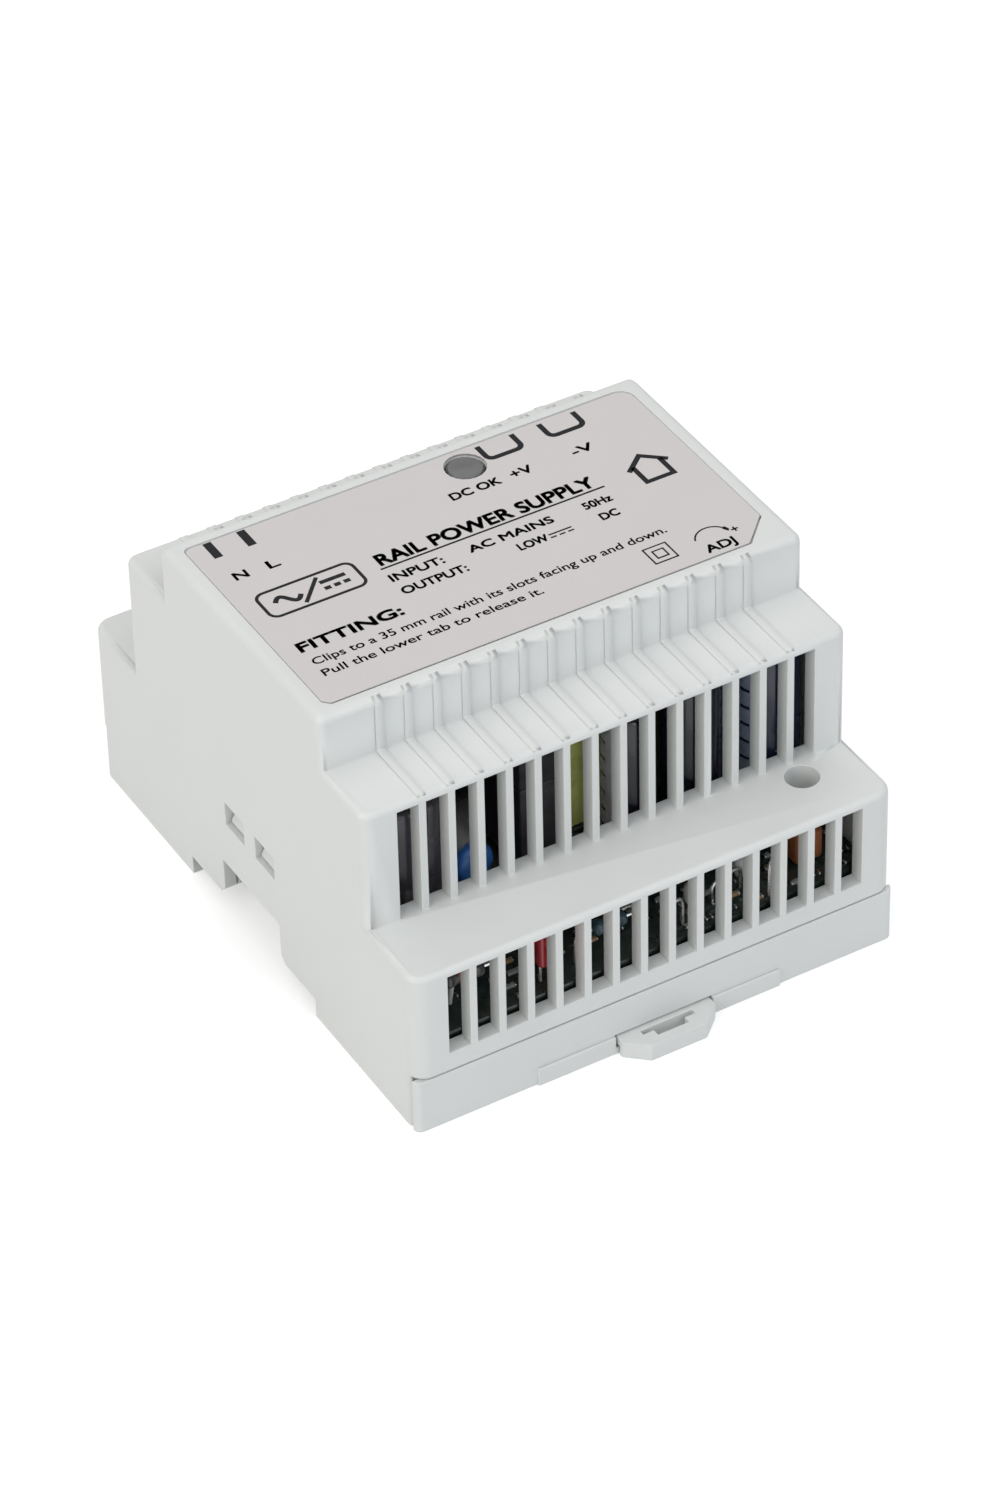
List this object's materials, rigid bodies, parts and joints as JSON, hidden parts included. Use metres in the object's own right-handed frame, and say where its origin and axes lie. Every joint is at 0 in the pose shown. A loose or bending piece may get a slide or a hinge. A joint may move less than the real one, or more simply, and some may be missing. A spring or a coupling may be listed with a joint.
{
  "type": "din rail power supply",
  "caption": "Slim stepped power supply for a top hat rail: vented plastic housing, screw terminals behind, status light, voltage adjuster and a sprung rail latch",
  "frame": {"origin": "under the middle of the whole box, latch tab included, on the plane of the housing's feet", "axes": "+Z out of the label, +Y from the latch side to the wiring side, X along the rail"},
  "size_m": [0.0776, 0.0972, 0.056],
  "materials": {
    "housing_plastic": "fine matt moulded",
    "label_film": "satin printed film",
    "clear_plastic": "smoky clear",
    "led_plastic": "tinted diffuse",
    "nylon": "natural",
    "board_laminate": "solder mask green",
    "plated_steel": "zinc plated",
    "spring_steel": "bright drawn wire",
    "terminal_plastic": "matt moulded",
    "black_plastic": "matt moulded",
    "black_sleeve": "shrunk sleeve",
    "ferrite": "dull sintered",
    "yellow_tape": "polyester tape",
    "blue_ceramic": "dipped coating",
    "green_ceramic": "dipped coating",
    "red_film": "epoxy dipped",
    "grey_plastic": "matt moulded",
    "copper_wire": "enamelled copper",
    "aluminium": "mill finish",
    "resistor_paint": "lacquered",
    "brown_phenolic": "moulded",
    "white_rotor": "moulded"
  },
  "bodies": {
    "housing": {"front_cover": "housing_plastic", "rear_base": "housing_plastic", "front_label": "label_film", "led_window": "clear_plastic", "status_led": "led_plastic", "led_spacer": "nylon", "circuit_board": "board_laminate", "board_screw_1": "plated_steel", "board_screw_2": "plated_steel", "input_terminal_block": "terminal_plastic", "output_terminal_block": "terminal_plastic", "trimmer_body": "brown_phenolic", "fuse": "black_plastic", "inrush_thermistor": "green_ceramic", "surge_varistor": "blue_ceramic", "emi_choke": "copper_wire", "x_capacitor": "grey_plastic", "bridge_rectifier": "black_plastic", "bulk_capacitor": "black_sleeve", "y_capacitor": "blue_ceramic", "film_capacitor": "red_film", "start_resistor": "resistor_paint", "snubber_resistor": "resistor_paint", "transformer_core": "ferrite", "transformer_winding": "yellow_tape", "primary_heatsink": "aluminium", "switching_transistor": "black_plastic", "transistor_screw": "plated_steel", "secondary_heatsink": "aluminium", "output_diode": "black_plastic", "diode_screw": "plated_steel", "output_capacitor_1": "black_sleeve", "output_capacitor_2": "black_sleeve", "output_capacitor_3": "black_sleeve", "output_inductor": "copper_wire", "optocoupler": "black_plastic", "control_chip": "black_plastic", "latch_spring": "spring_steel"},
    "latch": {"rail_latch": "housing_plastic"},
    "rotor": {"trimmer_rotor": "white_rotor"},
    "neutral_screw_body": {"neutral_screw": "plated_steel"},
    "neutral_cage_body": {"neutral_cage": "plated_steel"},
    "line_screw_body": {"line_screw": "plated_steel"},
    "line_cage_body": {"line_cage": "plated_steel"},
    "plus_1_screw_body": {"plus_1_screw": "plated_steel"},
    "plus_1_cage_body": {"plus_1_cage": "plated_steel"},
    "plus_2_screw_body": {"plus_2_screw": "plated_steel"},
    "plus_2_cage_body": {"plus_2_cage": "plated_steel"},
    "minus_1_screw_body": {"minus_1_screw": "plated_steel"},
    "minus_1_cage_body": {"minus_1_cage": "plated_steel"},
    "minus_2_screw_body": {"minus_2_screw": "plated_steel"},
    "minus_2_cage_body": {"minus_2_cage": "plated_steel"}
  },
  "joints": [
    {"name": "latch_slide", "type": "slide", "parent": "housing", "child": "latch", "axis": [0, -1, 0], "range_m": [0, 0.004], "stiffness_N_per_m": 400, "springref_m": -0.003, "deforming": ["latch_spring"]},
    {"name": "trimmer_turn", "type": "hinge", "parent": "housing", "child": "rotor", "pos_m": [0.0292, -0.0352, 0.0175], "axis": [0, 0, 1], "range_deg": [-135, 135]},
    {"name": "neutral_screw_turn", "type": "hinge", "parent": "housing", "child": "neutral_screw_body", "pos_m": [-0.03209, 0.0418, 0.0222], "axis": [0, 0, -1], "range_deg": [0, 1441]},
    {"name": "neutral_cage_lift", "type": "slide", "parent": "housing", "child": "neutral_cage_body", "axis": [0, 0, 1], "range_m": [0, 0.002]},
    {"name": "line_screw_turn", "type": "hinge", "parent": "housing", "child": "line_screw_body", "pos_m": [-0.02701, 0.0418, 0.0222], "axis": [0, 0, -1], "range_deg": [0, 1441]},
    {"name": "line_cage_lift", "type": "slide", "parent": "housing", "child": "line_cage_body", "axis": [0, 0, 1], "range_m": [0, 0.002]},
    {"name": "plus_1_screw_turn", "type": "hinge", "parent": "housing", "child": "plus_1_screw_body", "pos_m": [0.01108, 0.0418, 0.0222], "axis": [0, 0, -1], "range_deg": [0, 1441]},
    {"name": "plus_1_cage_lift", "type": "slide", "parent": "housing", "child": "plus_1_cage_body", "axis": [0, 0, 1], "range_m": [0, 0.002]},
    {"name": "plus_2_screw_turn", "type": "hinge", "parent": "housing", "child": "plus_2_screw_body", "pos_m": [0.01616, 0.0418, 0.0222], "axis": [0, 0, -1], "range_deg": [0, 1441]},
    {"name": "plus_2_cage_lift", "type": "slide", "parent": "housing", "child": "plus_2_cage_body", "axis": [0, 0, 1], "range_m": [0, 0.002]},
    {"name": "minus_1_screw_turn", "type": "hinge", "parent": "housing", "child": "minus_1_screw_body", "pos_m": [0.02124, 0.0418, 0.0222], "axis": [0, 0, -1], "range_deg": [0, 1441]},
    {"name": "minus_1_cage_lift", "type": "slide", "parent": "housing", "child": "minus_1_cage_body", "axis": [0, 0, 1], "range_m": [0, 0.002]},
    {"name": "minus_2_screw_turn", "type": "hinge", "parent": "housing", "child": "minus_2_screw_body", "pos_m": [0.02632, 0.0418, 0.0222], "axis": [0, 0, -1], "range_deg": [0, 1441]},
    {"name": "minus_2_cage_lift", "type": "slide", "parent": "housing", "child": "minus_2_cage_body", "axis": [0, 0, 1], "range_m": [0, 0.002]}
  ],
  "couplings": [
    {"joint": "neutral_screw_turn", "follows": "neutral_cage_lift", "rad_per_m": 12566},
    {"joint": "line_screw_turn", "follows": "line_cage_lift", "rad_per_m": 12566},
    {"joint": "plus_1_screw_turn", "follows": "plus_1_cage_lift", "rad_per_m": 12566},
    {"joint": "plus_2_screw_turn", "follows": "plus_2_cage_lift", "rad_per_m": 12566},
    {"joint": "minus_1_screw_turn", "follows": "minus_1_cage_lift", "rad_per_m": 12566},
    {"joint": "minus_2_screw_turn", "follows": "minus_2_cage_lift", "rad_per_m": 12566}
  ]
}
